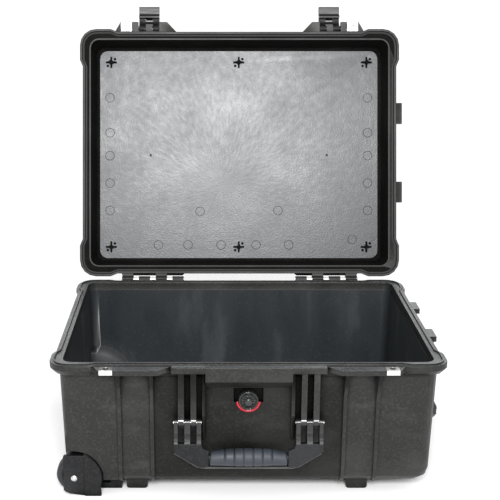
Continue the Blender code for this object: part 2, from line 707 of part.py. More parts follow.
def latch_lever(side):
    """Release lever in the jaw's foot: a nose that catches under the boss, and a finger tab."""
    section = [
        (-0.0045, -0.0212),
        (-0.0124, -0.0212),
        (-0.0127, -0.0247),
        (-0.0165, -0.0252),
        (-0.0190, -0.0258),
        (-0.0210, -0.0290),
        (-0.0215, -0.0390),
        (-0.0195, -0.0422),
        (-0.0145, -0.0426),
        (-0.0116, -0.0413),
        (-0.0112, -0.0298),
        (-0.0128, -0.0275),
        (-0.0075, -0.0260),
        (-0.0045, -0.0236),
    ]
    knuckle = [(-0.0118, -0.0214)] + around((LATCH_Y - LEVER_Y, LEVER_Z - LATCH_Z), 0.0034, 20, 200, 5)
    knuckle += [(-0.0192, -0.0235), (-0.0187, -0.0263), (-0.0118, -0.0255)]
    middle = side * LATCH_X
    section = [(y - LATCH_Y, z + LATCH_Z) for y, z in section]
    knuckle = [(y - LATCH_Y, z + LATCH_Z) for y, z in knuckle]
    made = plate(f"latch_lever_{name_of(side)}", section, "x", middle - LATCH_HALF, middle + LATCH_HALF)
    hub = plate(f"lever_hub_{side}", knuckle, "x", middle - 0.0060, middle + 0.0060)
    bore = rod(f"lever_bore_{side}", LEVER_PIN_R + BORE_GAP, *across(middle, 0.0250, LEVER_Y, LEVER_Z))
    return made, hub, bore


def across(middle, half, y, z):
    return (middle - half, -y, z), (middle + half, -y, z)


def name_of(side):
    return "left" if side < 0 else "right"


# ---------------------------------------------------------------- carry handles


def finger_outline():
    """Side view of a handle finger: an eye round the pin and a shank down to the arm."""
    eye = around((-HANDLE_Y, HANDLE_Z), 0.0056, 20, 190, 5)
    shank = [(-0.2262, 0.1150), (-0.2262, 0.1055), (-0.2318, 0.0943), (-0.2325, 0.0900)]
    return eye + shank + [(-0.2245, 0.0900), (-0.2211, 0.1000), (-0.2166, 0.1140)]


def arm_outline(closer):
    """Front view of the handle's right arm, from the fingers down to the grip."""
    points = [
        (0.0680, 0.0940),
        (0.0660, 0.0870),
        (0.0575, 0.0830),
        (0.0575, 0.0590),
        (0.0700, 0.0580),
        (0.0960, 0.0740),
        (0.1070, 0.0820),
        (0.1070, 0.0940),
    ]
    return [(x - closer, z) for x, z in points]


def handle_frame(name, closer):
    """One moulded frame: a core bar through the grip, an arm and three fingers at each end."""
    core_half = 0.0600 - closer
    core = rod(name, GRIP_CORE_R, (-core_half, -GRIP_Y, GRIP_Z), (core_half, -GRIP_Y, GRIP_Z))
    added = []
    for side in (-1, 1):
        outline = [(side * x, z) for x, z in arm_outline(closer)]
        added.append(plate(f"{name}_arm_{side}", outline, "y", -0.2318, -0.2238))
        for number, (near, far) in enumerate(FINGERS):
            ends = sorted((side * (near - closer), side * (far - closer)))
            added.append(plate(f"{name}_finger_{side}_{number}", finger_outline(), "x", *ends))
    reach = 0.1200
    start, end = (-reach, -HANDLE_Y, HANDLE_Z), (reach, -HANDLE_Y, HANDLE_Z)
    return core, added, rod(f"{name}_bore", HANDLE_PIN_R + 2 * BORE_GAP, start, end)


def handle_grip(name, closer):
    """Soft sleeve on the handle's core bar, fullest in the middle."""
    half = GRIP_HALF - closer
    bore = GRIP_CORE_R + 0.0003
    profile = [(bore, half), (GRIP_END_R - 0.0010, half), (GRIP_END_R, half - 0.0010)]
    profile += [(GRIP_R - 0.0008, half * 0.62), (GRIP_R, half * 0.30), (GRIP_R, -half * 0.30)]
    profile += [(GRIP_R - 0.0008, -half * 0.62), (GRIP_END_R, -half + 0.0010)]
    profile += [(GRIP_END_R - 0.0010, -half), (bore, -half)]
    return turned(name, profile, "x", (0, -GRIP_Y, GRIP_Z), steps=16, closed=True)


def carry_handle(frame, name, closer):
    """The swinging handle of one side, its grip, and its two pins, which stay in the wall's ribs."""
    swing = Frame(f"{name}_axis", (0, -HANDLE_Y, HANDLE_Z), frame)
    core, added, bore = handle_frame(f"{name}_frame", closer)
    combine(core, "UNION", [swing.hold(piece) for piece in added])
    combine(core, "DIFFERENCE", [swing.hold(bore)])
    finish(core, swing, looks["moulding"])
    finish(handle_grip(f"{name}_grip", closer), swing, looks["grip_rubber"])
    for side in (-1, 1):
        near, far = side * (0.0674 - closer), side * (0.1080 - closer)
        end = name_of(side) if frame is case_frame else end_of(side)
        places = (near, -HANDLE_Y, HANDLE_Z), (far, -HANDLE_Y, HANDLE_Z)
        finish(rod(f"{name}_pin_{end}", HANDLE_PIN_R, *places), frame, looks["steel"])


# ---------------------------------------------------------------- wheels


def housing_front_outline():
    """Outer plate of a wheel housing from the front: an ear at the left, a foot at the right."""
    arc = around((AXLE_X, AXLE_Z), HOUSING_R, 68, -20, 8)
    ear = [(-0.2400, 0.0)] + around((AXLE_X, AXLE_Z), 0.0250, 270, 235, 2)
    ear += [(-0.2700, 0.0090), (-0.2700, 0.0610), (-0.2680, 0.0630), (-0.2400, 0.0630)]
    return ear + arc + [(-0.2148, 0.0)]


def housing_foot_outline():
    """Thicker part of the plate, right of the ear."""
    arc = around((AXLE_X, AXLE_Z), HOUSING_R - 0.0010, 64, -19, 8)
    return [(-0.2385, 0.0), (-0.2385, 0.0625)] + arc + [(-0.2155, 0.0)]


def housing_tongue_outline():
    """Low block that runs on from the housing's foot, under the floor."""
    block = [(-0.2205, 0.0), (-0.1864, 0.0), (-0.1834, TONGUE_BLOCK_TOP), (-0.2010, TONGUE_BLOCK_TOP)]
    return block + [(-0.2040, 0.0080), (-0.2205, 0.0080)]


def housing_ring_outline():
    """Fender round the wheel, from past its top to below the floor side."""
    outer = around((AXLE_X, AXLE_Z), 0.0335, -42, 112, 12)
    inner = around((AXLE_X, AXLE_Z), 0.0285, 112, -42, 12)
    return outer + inner


def wheel_housing(side):
    """Moulded housing: two cheeks, a fender between them, a foot and a tongue under the floor."""
    def ends(near, far):
        return sorted((side * near, side * far))

    made = plate(f"wheel_housing_{end_of(side)}", housing_front_outline(), "y", *ends(0.2036, 0.1982))
    added = [
        plate(f"housing_step_{side}", housing_foot_outline(), "y", *ends(0.2055, 0.2000)),
        plate(f"housing_back_{side}", housing_front_outline(), "y", *ends(0.1650, 0.1594)),
        plate(f"housing_ring_{side}", housing_ring_outline(), "y", *ends(0.1990, 0.1630)),
        box(f"housing_foot_{side}", (-0.2265, -0.2176), ends(0.2014, 0.1606), (0.0008, 0.0095)),
        plate(f"housing_tongue_{side}", housing_tongue_outline(), "y", *ends(0.1793, 0.1622)),
    ]
    bores = [
        rod(f"housing_bore_{side}", AXLE_R + BORE_GAP, *along_y(AXLE_X, AXLE_Z, side, 0.2200, 0.1400)),
        rod(f"housing_screw_bore_{side}", 0.0024, *along_y(SCREW_X, SCREW_Z, side, 0.1760, 0.1400)),
    ]
    return made, added, bores


def end_of(side):
    return "front" if side < 0 else "rear"


def along_y(x, z, side, near, far):
    return (x, side * near, z), (x, side * far, z)


def wheel(frame, side):
    """Tyre on a hub with a bearing, all free to turn on the axle."""
    centre = (AXLE_X, side * WHEEL_Y, AXLE_Z)
    roll = Frame(f"wheel_{end_of(side)}_axis", centre, frame)
    half = WHEEL_HALF
    tyre = [(0.0178, half - 0.0010), (0.0215, half), (0.0243, half - 0.0010), (WHEEL_R, half - 0.0045)]
    tyre += [(WHEEL_R, -half + 0.0045), (0.0243, -half + 0.0010), (0.0215, -half), (0.0178, -half + 0.0010)]
    hub = [(0.0078, half - 0.0020), (0.0150, half - 0.0020), (0.0175, half - 0.0035)]
    hub += [(0.0175, -half + 0.0035), (0.0150, -half + 0.0020), (0.0078, -half + 0.0020)]
    bearing = [(0.0031, 0.0045), (0.0075, 0.0045), (0.0075, -0.0045), (0.0031, -0.0045)]
    for name, profile, look in (
        ("wheel_tyre", tyre, "wheel_rubber"),
        ("wheel_hub", hub, "moulding"),
        ("wheel_bearing", bearing, "steel"),
    ):
        made = turned(f"{name}_{end_of(side)}", profile, "y", centre, steps=24, closed=True)
        finish(made, roll, looks[look])


def axle(frame, side):
    """Stepped pin through the housing's cheeks, with a domed head outside."""
    shank, head = 0.1598, 0.2041
    profile = [(0.0, 0.0028), (0.0026, 0.0024), (AXLE_HEAD_R, 0.0006), (AXLE_HEAD_R, 0.0)]
    profile += [(AXLE_R, 0.0), (AXLE_R, shank - head), (0.0, shank - head)]
    if side > 0:
        profile = [(radius, -height) for radius, height in reversed(profile)]
    made = turned(f"wheel_axle_{end_of(side)}", profile, "y", (AXLE_X, side * head, AXLE_Z), steps=20)
    return finish(made, frame, looks["steel"])


def housing_screw(frame, side):
    place = (SCREW_X, SCREW_Z)
    shank = rod(f"wheel_housing_screw_{end_of(side)}", 0.0020, *along_y(*place, side, 0.1660, 0.1540))
    head = rod(f"screw_head_{side}", 0.0029, *along_y(*place, side, 0.1676, 0.1653))
    combine(shank, "UNION", [frame.hold(head)])
    return finish(shank, frame, looks["steel"])


# ---------------------------------------------------------------- pull handle


def pull_guide(frame, side):
    """Sleeve screwed under the floor, which one arm slides through."""
    middle = side * PULL_Y
    y = (middle - PULL_HALF - 0.0030, middle + PULL_HALF + 0.0030)
    made = box(f"pull_guide_{end_of(side)}", PULL_GUIDE_ENDS, y, (0.0015, UNDERSIDE - 0.0003))
    hole_y = (middle - PULL_HALF - 0.0003, middle + PULL_HALF + 0.0003)
    hole_z = (PULL_LOW - 0.0003, PULL_HIGH + 0.0003)
    hole = box(f"pull_guide_hole_{side}", (-0.2300, 0.1800), hole_y, hole_z)
    combine(made, "DIFFERENCE", [frame.hold(hole)])
    return finish(made, frame, looks["moulding"])


def pull_arm(frame, side):
    middle = side * PULL_Y
    y = (middle - PULL_HALF, middle + PULL_HALF)
    made = box(f"pull_arm_{end_of(side)}", PULL_ARM_ENDS, y, (PULL_LOW, PULL_HIGH), bevel=0.0012)
    return finish(made, frame, looks["aluminium"])


def pull_grip(frame):
    """Bar across the two arms' ends, with sockets for them and a pocket for the button."""
    made = box("pull_grip", (0.2480, 0.2680), (-0.0735, 0.0735), (0.0020, 0.0300), bevel=0.0035)
    waist = box("pull_waist", (0.2360, 0.2760), (-0.0480, 0.0480), (-0.0050, 0.0110))
    sockets = []
    for side in (-1, 1):
        y = (side * PULL_Y - PULL_HALF - 0.0003, side * PULL_Y + PULL_HALF + 0.0003)
        z = (PULL_LOW - 0.0003, PULL_HIGH + 0.0003)
        sockets.append(box(f"pull_socket_{side}", (0.2360, 0.2544), y, z))
    pocket = box("pull_button_pocket", (0.2590, 0.2760), (-0.0155, 0.0155), (0.0155, 0.0255))
    combine(made, "DIFFERENCE", [frame.hold(piece) for piece in [waist, pocket] + sockets])
    return finish(made, frame, looks["moulding"])


def pull_button(frame):
    press = Frame("pull_button_axis", (0.2660, 0.0, 0.0205), frame)
    made = box("pull_button", (0.2640, 0.2698), (-0.0150, 0.0150), (0.0160, 0.0250), bevel=0.0010)
    return finish(made, press, looks["button"])


# ---------------------------------------------------------------- purge valve


def valve_recess_outline():
    """Hollow behind the valve's upper half, seen from the front, which leaves its round seat."""
    low, high = VALVE_RECESS_Z
    start = math.degrees(math.asin((low - VALVE_Z) / VALVE_SEAT_R))
    corners = [(-VALVE_RECESS_X, low), (-VALVE_RECESS_X, high), (VALVE_RECESS_X, high), (VALVE_RECESS_X, low)]
    return corners + around((0.0, VALVE_Z), VALVE_SEAT_R, start, 180 - start, 12)


def valve_ring():
    """Red seal round the lower half of the valve."""
    middle = (0.0, VALVE_Z)
    outline = around(middle, VALVE_RING_R, 8, -188, 14)
    outline += around(middle, VALVE_R + 0.0004, -188, 8, 14)
    return plate("purge_valve_ring", outline, "y", -VALVE_SEAT_Y - 0.0022, -VALVE_SEAT_Y)


def valve_pieces(frame):
    """Valve body with its stem through the wall, the seal under its rim, and the nut inside."""
    seat = -VALVE_SEAT_Y
    cap = [(0.0, 0.0112), (0.0062, 0.0106), (0.0108, 0.0086), (0.0136, 0.0052), (VALVE_R, 0.0030)]
    cap += [(VALVE_R, 0.0), (VALVE_STEM_R, 0.0), (VALVE_STEM_R, -0.0200), (0.0, -0.0200)]
    bore = VALVE_STEM_R + 0.0006
    nut = [(bore, 0.0050), (0.0125, 0.0050), (0.0125, 0.0), (bore, 0.0)]
    centre = (0, seat, VALVE_Z)
    finish(turned("purge_valve_body", cap, "y", centre, steps=24), frame, looks["gloss_black"])
    finish(valve_ring(), frame, looks["red_seal"])
    inside = (0, -0.1933, VALVE_Z)
    finish(turned("purge_valve_nut", nut, "y", inside, steps=12, closed=True), frame, looks["moulding"])


# ---------------------------------------------------------------- assembly


def build_base(case, end):
    shell = base_shell()
    added, cut = base_fittings()
    added += hinge_knuckles((-0.0450, 0.0150), base_knuckle_outline(), "base_knuckle")
    cut.append(hinge_bore("base_hinge_bore"))
    for piece in added + cut:
        case.hold(piece)
    for frame, name, closer in ((case, "front_handle_seat", 0.0), (end, "side_handle_seat", END_CLOSER)):
        ribs, bores = handle_seat(frame, name, closer)
        added += ribs
        cut += bores
    for side in (-1, 1):
        step = box(f"end_bracket_step_{side}", *bracket_box(side * 0.0705, 0.0190))
        added.append(end.hold(step))
    combine(shell, "UNION", added)
    combine(shell, "DIFFERENCE", cut)
    finish(shell, case, looks["shell"])
    for centre, label in zip(HINGE_CENTRES, ("left", "right")):
        ends = (centre - HINGE_HALF, HINGE_Y, HINGE_Z), (centre + HINGE_HALF, HINGE_Y, HINGE_Z)
        finish(rod(f"hinge_pin_{label}", HINGE_PIN_R, *ends), case, looks["steel"])


def build_lid(lid):
    shell = lid_shell()
    added, cut = lid_fittings()
    added += hinge_knuckles((-0.0150, 0.0450), lid_knuckle_outline(), "lid_knuckle")
    cut.append(hinge_bore("lid_hinge_bore"))
    combine(shell, "UNION", [lid.hold(piece) for piece in added])
    combine(shell, "DIFFERENCE", [lid.hold(piece) for piece in cut])
    finish(shell, lid, looks["shell"])
    finish(gasket(), lid, looks["seal"])


def build_padlock_plates(case, lid):
    for frame, low in ((case, True), (lid, False)):
        for side in (-1, 1):
            made, hole = padlock_plate(side, low)
            combine(made, "DIFFERENCE", [frame.hold(hole)])
            finish(made, frame, looks["steel"])


def build_latch(lid, side):
    place, turn = (side * LATCH_X, -LATCH_Y, LATCH_Z), (-LATCH_SWUNG_OUT, 0, 0)
    swing = Frame(f"latch_{name_of(side)}_axis", place, lid, turn=turn)
    release = Frame(f"lever_{name_of(side)}_axis", (side * LATCH_X, -LEVER_Y, LEVER_Z), swing)
    jaw, cut = latch_jaw(side)
    combine(jaw, "DIFFERENCE", [swing.hold(piece) for piece in cut])
    finish(jaw, swing, looks["gloss_black"])
    lever, hub, bore = latch_lever(side)
    combine(lever, "UNION", [release.hold(hub)])
    combine(lever, "DIFFERENCE", [release.hold(bore)])
    finish(lever, release, looks["gloss_black"])
    middle = side * LATCH_X
    pin = rod(f"latch_pin_{name_of(side)}", LATCH_PIN_R, *across(middle, 0.0245, LATCH_Y, LATCH_Z))
    finish(pin, lid, looks["steel"])
    low_pin = rod(f"lever_pin_{name_of(side)}", LEVER_PIN_R, *across(middle, 0.0180, LEVER_Y, LEVER_Z))
    finish(low_pin, swing, looks["steel"])


def build_wheels(case):
    for side in (-1, 1):
        made, added, bores = wheel_housing(side)
        combine(made, "UNION", [case.hold(piece) for piece in added])
        combine(made, "DIFFERENCE", [case.hold(piece) for piece in bores])
        finish(made, case, looks["moulding"])
        wheel(case, side)
        axle(case, side)
        housing_screw(case, side)


def build_pull_handle(case):
    slide = Frame("pull_handle_axis", (0.2520, 0.0, 0.0080), case)
    for side in (-1, 1):
        pull_guide(case, side)
        pull_arm(slide, side)
    pull_grip(slide)
    pull_button(slide)


clear_scene()
parts = new_collection(CASE, bpy.context.scene.collection)
cutters = new_collection(HELPERS, bpy.context.scene.collection)
looks = {
    "shell": new_material("shell", (0.025, 0.026, 0.026), 0.48),
    "moulding": new_material("moulding", (0.020, 0.021, 0.022), 0.42),
    "gloss_black": new_material("gloss_black", (0.014, 0.014, 0.015), 0.22),
    "grip_rubber": new_material("grip_rubber", (0.060, 0.064, 0.070), 0.45),
    "wheel_rubber": new_material("wheel_rubber", (0.012, 0.013, 0.016), 0.60),
    "seal": new_material("seal", (0.030, 0.030, 0.031), 0.70),
    "steel": new_material("steel", (0.78, 0.78, 0.77), 0.25, metallic=1.0),
    "aluminium": new_material("aluminium", (0.55, 0.56, 0.57), 0.35, metallic=1.0),
    "red_seal": new_material("red_seal", (0.45, 0.012, 0.022), 0.40),
    "button": new_material("button", (0.050, 0.052, 0.055), 0.40),
}
case_frame = Frame("case_frame", (0, 0, 0), shift=(-FOOTPRINT_X, -FOOTPRINT_Y, 0))
quarter_turn = (0, 0, math.pi / 2)
end_frame = Frame("right_end_frame", (0, 0, 0), case_frame, quarter_turn, (END_SHIFT, 0, 0))
lid_frame = Frame("lid_axis", (0, HINGE_Y, HINGE_Z), case_frame, turn=(-LID_OPEN, 0, 0))
build_base(case_frame, end_frame)
build_lid(lid_frame)
build_padlock_plates(case_frame, lid_frame)
carry_handle(case_frame, "front_handle", 0.0)
carry_handle(end_frame, "side_handle", END_CLOSER)
for hand in (-1, 1):
    build_latch(lid_frame, hand)
build_wheels(case_frame)
build_pull_handle(case_frame)
valve_pieces(case_frame)
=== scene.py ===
import json
import math

import bmesh
import bpy
from mathutils import Matrix, Vector

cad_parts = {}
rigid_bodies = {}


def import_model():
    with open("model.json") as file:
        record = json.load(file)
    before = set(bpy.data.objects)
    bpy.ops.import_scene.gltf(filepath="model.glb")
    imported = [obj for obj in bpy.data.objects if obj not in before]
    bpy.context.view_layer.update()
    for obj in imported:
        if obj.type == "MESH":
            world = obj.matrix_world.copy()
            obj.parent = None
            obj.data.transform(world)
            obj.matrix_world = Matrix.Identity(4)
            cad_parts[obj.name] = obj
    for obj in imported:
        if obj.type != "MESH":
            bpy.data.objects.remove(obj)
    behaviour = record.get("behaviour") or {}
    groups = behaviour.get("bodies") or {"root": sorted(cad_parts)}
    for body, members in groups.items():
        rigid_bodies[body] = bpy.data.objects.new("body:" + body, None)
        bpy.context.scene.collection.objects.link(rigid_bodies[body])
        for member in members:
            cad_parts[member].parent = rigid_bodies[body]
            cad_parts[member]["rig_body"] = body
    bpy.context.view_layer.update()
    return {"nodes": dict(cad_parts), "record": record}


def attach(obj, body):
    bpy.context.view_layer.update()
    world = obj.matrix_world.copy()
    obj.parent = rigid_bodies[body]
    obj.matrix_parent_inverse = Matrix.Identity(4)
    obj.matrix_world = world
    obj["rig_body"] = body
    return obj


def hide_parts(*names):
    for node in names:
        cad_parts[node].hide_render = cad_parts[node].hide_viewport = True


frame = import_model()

nodes = frame["nodes"]

# Where the CAD puts things, in metres (row frame: the open case's footprint is centred on zero)
CASE_SHIFT = Vector((-0.0085, -0.0725, 0.0))
RIM_X, RIM_Y, RIM_Z = 0.2809, 0.2166, 0.2080
HINGE = CASE_SHIFT + Vector((0.0, 0.2266, 0.2080))
LID_OPEN = math.radians(104.5)
LID_PANEL_Z = 0.2528
FLOOR_Z = 0.0240
FRONT_GRIP = CASE_SHIFT + Vector((0.0, -0.2256, 0.0710))
SIDE_GRIP = CASE_SHIFT + Vector((0.2899, 0.0, 0.0710))
HANDLE_Y, HANDLE_Z, SIDE_HANDLE_X = 0.2211, 0.1230, 0.2854
KNUCKLE_REACH, FINGER_FOOT_Z = 0.0064, 0.0935
FRONT_GRIP_HALF, SIDE_GRIP_HALF = 0.0550, 0.0390
GRIP_R, GRIP_END_R, GRIP_BORE_R = 0.0130, 0.0100, 0.0063
GRIP_END_BEVEL, GRIP_END_LENGTH = 0.0012, 0.0016
GROOVE_PITCH, GROOVE_HALF, GROOVE_DEPTH = 0.0136, 0.0014, 0.0012
VALVE = CASE_SHIFT + Vector((0.0, -0.2070, 0.1515))
WHEEL_X, WHEEL_Z, WHEEL_Y = -0.2545, 0.0275, 0.1826
WHEEL_R, TREAD_GROOVE_DEPTH = 0.0272, 0.0007

# Bounds of the shells' faces that look different, and how far inside the rim they start
PANEL_INSET, LID_WALL_INSET, BASE_WALL_INSET = 0.0270, 0.0148, 0.0150
BASE_WALL_TOP, RIM_TOP_Z, FRONT_HANDLE_HALF, SIDE_HANDLE_HALF = 0.1975, 0.2035, 0.1020, 0.0860
RECESS_HALF, RECESS_LOW, RECESS_HIGH = 0.0217, 0.1476, 0.1706
RECESS_FRONT, RECESS_BACK = -0.2066, -0.1990
BEAD_Z, BEAD_HALF, BEAD_BEND_X, BEAD_SLOPE = 0.0450, 0.1075, 0.0640, 0.0230 / 0.0430
BEAD_WIDTH, BEAD_FRONT, BEAD_BACK = 0.0040, -0.2070, -0.2030
FRONT_WALL_HALF, FRONT_WALL_LOW, FRONT_WALL_HIGH = 0.0780, 0.0120, 0.1990
FRONT_WALL_FRONT, FRONT_WALL_BACK = -0.2160, -0.1830

# Marks on the lid's inner panel: rings in rows down both sides and along the hinge, and posts
MARK_R, MARK_SIDE_X, MARK_HINGE_Y = 0.0080, 0.2355, 0.1651
MARK_SIDE_ROWS = (-0.1040, -0.0401, 0.0018, 0.0520, 0.1022)
MARK_HINGE_COLUMNS = (-0.1469, -0.0929, -0.0325, 0.0316, 0.0912)
LOOSE_MARKS = [(-0.0709, 0.1040), (0.0718, 0.1022), (0.2073, 0.1550)]
SPRUE_X, SPRUE_Y = 0.1610, 0.0010
POST_X, POST_Y = 0.2330, 0.1685

# Colours of the black plastics, and of the lid's paler inner panel; the base's inside and the panel are
# the shell's plastic painted lighter, as lit
SHELL_COLOUR, MOULDING_COLOUR = (0.0080, 0.0080, 0.0074), (0.0062, 0.0064, 0.0070)
INNER_COLOUR = (0.013, 0.016, 0.018)
PANEL_COLOUR, PANEL_ROUGH = (0.0145, 0.0160, 0.0185), 0.33
# Places of the panel's sink marks, drawn as dark lines of painted shade
PANEL_SINK_LINES = (-0.150, -0.115, 0.160, 0.200)
PANEL_MIDDLE = CASE_SHIFT + Vector((-0.030, 0.2600, 0.3600))

KEY_PLACE, KEY_WATTS = (-0.034, -2.670, 1.600), 100.0

# Camera: a medium-long lens, its picture shifted a little sideways
SENSOR_MM, LENS_MM = 36.0, 82.6776
PICTURE_SHIFT = 0.0934
CAMERA_PLACE = CASE_SHIFT + Vector((-0.0649, -1.7505, 0.7747))
CAMERA_DOWN = math.radians(14.54)


# ---------------------------------------------------------------- materials


class Shader:
    """A Principled material and short ways to add nodes to it."""

    def __init__(self, name, colour, roughness, metallic=0.0, specular=0.5):
        self.material = bpy.data.materials.new(name)
        self.material.use_nodes = True
        self.tree = self.material.node_tree
        self.principled = self.tree.nodes["Principled BSDF"]
        self.colour = (*colour, 1.0)
        self.principled.inputs["Base Color"].default_value = self.colour
        self.principled.inputs["Roughness"].default_value = roughness
        self.principled.inputs["Metallic"].default_value = metallic
        self.principled.inputs["Specular IOR Level"].default_value = specular
        self.place = self.tree.nodes.new("ShaderNodeTexCoord").outputs["Object"]

    def add(self, kind, **settings):
        node = self.tree.nodes.new(kind)
        for key, value in settings.items():
            setattr(node, key, value)
        return node

    def join(self, source, target):
        self.tree.links.new(source, target)

    def noise(self, scale, detail=3.0, stretch=None, place=None):
        """Noise of so many cells per metre; stretch gives a factor along each axis."""
        place = place or self.place
        if stretch:
            mapping = self.add("ShaderNodeMapping")
            mapping.inputs["Scale"].default_value = stretch
            self.join(place, mapping.inputs["Vector"])
            place = mapping.outputs["Vector"]
        texture = self.add("ShaderNodeTexNoise")
        texture.inputs["Scale"].default_value = scale
        texture.inputs["Detail"].default_value = detail
        self.join(place, texture.inputs["Vector"])
        return texture.outputs["Fac"]

    def ramp(self, value, low, high, start, end):
        """Maps a value from (low, high) to (start, end), held at both ends."""
        node = self.add("ShaderNodeMapRange")
        for key, number in zip(("From Min", "From Max", "To Min", "To Max"), (low, high, start, end)):
            node.inputs[key].default_value = number
        self.join(value, node.inputs["Value"])
        return node.outputs["Result"]

    def math(self, operation, first, second):
        node = self.add("ShaderNodeMath", operation=operation)
        for socket, value in zip(node.inputs, (first, second)):
            if isinstance(value, (int, float)):
                socket.default_value = value
            else:
                self.join(value, socket)
        return node.outputs["Value"]

    def tint(self, factor, colour):
        """Lays a second colour over the base colour where the factor is high."""
        base = self.principled.inputs["Base Color"]
        mix = self.add("ShaderNodeMix", data_type="RGBA")
        if base.links:
            self.join(base.links[0].from_socket, mix.inputs[6])
        else:
            mix.inputs[6].default_value = self.colour
        mix.inputs[7].default_value = (*colour, 1.0)
        self.join(factor, mix.inputs[0])
        self.join(mix.outputs[2], base)

    def rough(self, value):
        self.join(value, self.principled.inputs["Roughness"])

    def bump(self, height, strength, distance):
        node = self.add("ShaderNodeBump")
        node.inputs["Strength"].default_value = strength
        node.inputs["Distance"].default_value = distance
        self.join(height, node.inputs["Height"])
        normal = self.principled.inputs["Normal"]
        if normal.links:
            self.join(normal.links[0].from_socket, node.inputs["Normal"])
        self.join(node.outputs["Normal"], normal)

    def grooves(self, reach):
        """Ambient occlusion mask for painted shade: gives 1 deep in a groove or corner, falling to 0 on
        an open face.
        """
        node = self.add("ShaderNodeAmbientOcclusion", samples=6)
        node.inputs["Distance"].default_value = reach
        return self.ramp(node.outputs["AO"], 0.30, 0.85, 1.0, 0.0)

    def soft_edges(self, radius):
        """Rounds the look of sharp edges, and gives how much of an edge a point is on."""
        bevel = self.add("ShaderNodeBevel", samples=6)
        bevel.inputs["Radius"].default_value = radius
        self.join(bevel.outputs["Normal"], self.principled.inputs["Normal"])
        plain = self.add("ShaderNodeNewGeometry")
        dot = self.add("ShaderNodeVectorMath", operation="DOT_PRODUCT")
        self.join(bevel.outputs["Normal"], dot.inputs[0])
        self.join(plain.outputs["Normal"], dot.inputs[1])
        return self.ramp(dot.outputs["Value"], 0.99, 0.80, 0.0, 1.0)


def moulded_plastic(name, colour, roughness, grain, specular=0.5):
    """Textured black plastic: fine grain, patchy sheen, light scuffs, edges painted lighter as
    highlights and creases painted darker as shade.
    """
    edge_radius, scuffs = 0.0009, 0.30
    look = Shader(name, colour, roughness, specular=specular)
    edge = look.soft_edges(edge_radius)
    patches = look.noise(11.0, 5.0)
    fine = look.noise(1300.0, 2.0)
    scratches = look.noise(60.0, 7.0, stretch=(0.35, 1.0, 1.0))
    # Lighter colour for the scuffs, speckle and clouds, and for the painted highlights on edges
    light = tuple(channel * 3.0 + 0.060 * specular for channel in colour)
    scuffed = look.math("MULTIPLY", look.ramp(scratches, 0.56, 0.74, 0.0, 1.0), scuffs)
    look.tint(scuffed, light)
    # Painted highlight: edges lightened where the bevel rounds them
    look.tint(look.math("MULTIPLY", edge, 0.90), light)
    speckle = look.math("MULTIPLY", look.ramp(look.noise(300.0, 4.0), 0.50, 0.70, 0.0, 1.0), 0.45)
    look.tint(speckle, light)
    clouds = look.math("MULTIPLY", look.ramp(look.noise(9.0, 4.0), 0.50, 0.68, 0.0, 1.0), 0.40)
    look.tint(clouds, light)
    # Painted shade: creases and corners darkened by ambient occlusion, with the specular level cut there
    # too
    groove = look.grooves(0.016)
    look.tint(look.math("MULTIPLY", groove, 0.85), (0.0008, 0.0008, 0.0008))
    sheen = look.math("MULTIPLY", look.math("SUBTRACT", 1.0, groove), specular)
    look.join(sheen, look.principled.inputs["Specular IOR Level"])
    look.rough(look.ramp(patches, 0.30, 0.70, roughness - 0.07, roughness + 0.08))
    look.bump(fine, grain, 0.00025)
    look.bump(look.noise(38.0, 3.0), 0.10, 0.0012)
    return look.material


def gloss_plastic(name, colour, roughness):
    look = Shader(name, colour, roughness)
    edge = look.soft_edges(0.0008)
    light = tuple(channel * 2.5 + 0.010 for channel in colour)
    hairlines = look.noise(260.0, 3.0, stretch=(0.10, 1.0, 1.0))
    # Painted highlight: edges lightened where the bevel rounds them
    look.tint(look.math("MULTIPLY", edge, 0.40), light)
    look.rough(look.ramp(hairlines, 0.35, 0.75, roughness - 0.03, roughness + 0.12))
    look.bump(look.noise(700.0, 2.0), 0.06, 0.0002)
    return look.material


def rubber(name, colour, roughness, grain=0.35):
    look = Shader(name, colour, roughness)
    edge = look.soft_edges(0.0006)
    # Chalky colour for the random patches, and for painted highlights on edges
    chalk_and_edge_light = tuple(channel * 1.8 + 0.008 for channel in colour)
    patches = look.noise(40.0, 4.0)
    look.tint(look.ramp(patches, 0.45, 0.75, 0.0, 0.45), chalk_and_edge_light)
    # Painted highlight: edges lightened with the chalky colour
    look.tint(look.math("MULTIPLY", edge, 0.30), chalk_and_edge_light)
    look.rough(look.ramp(patches, 0.30, 0.70, roughness - 0.06, roughness + 0.08))
    look.bump(look.noise(1800.0, 2.0), grain, 0.0002)
    return look.material


def brushed_metal(name, colour, roughness, stretch=(0.04, 1.0, 1.0)):
    """Bright sheet or bar with fine lines along one axis."""
    look = Shader(name, colour, roughness, metallic=1.0)
    look.soft_edges(0.0005)
    lines = look.noise(1500.0, 2.0, stretch=stretch)
    dull = tuple(channel * 0.72 for channel in colour)
    look.tint(look.ramp(look.noise(60.0, 4.0), 0.50, 0.75, 0.0, 0.6), dull)
    look.rough(look.ramp(lines, 0.30, 0.70, roughness - 0.08, roughness + 0.12))
    look.bump(lines, 0.10, 0.0001)
    return look.material


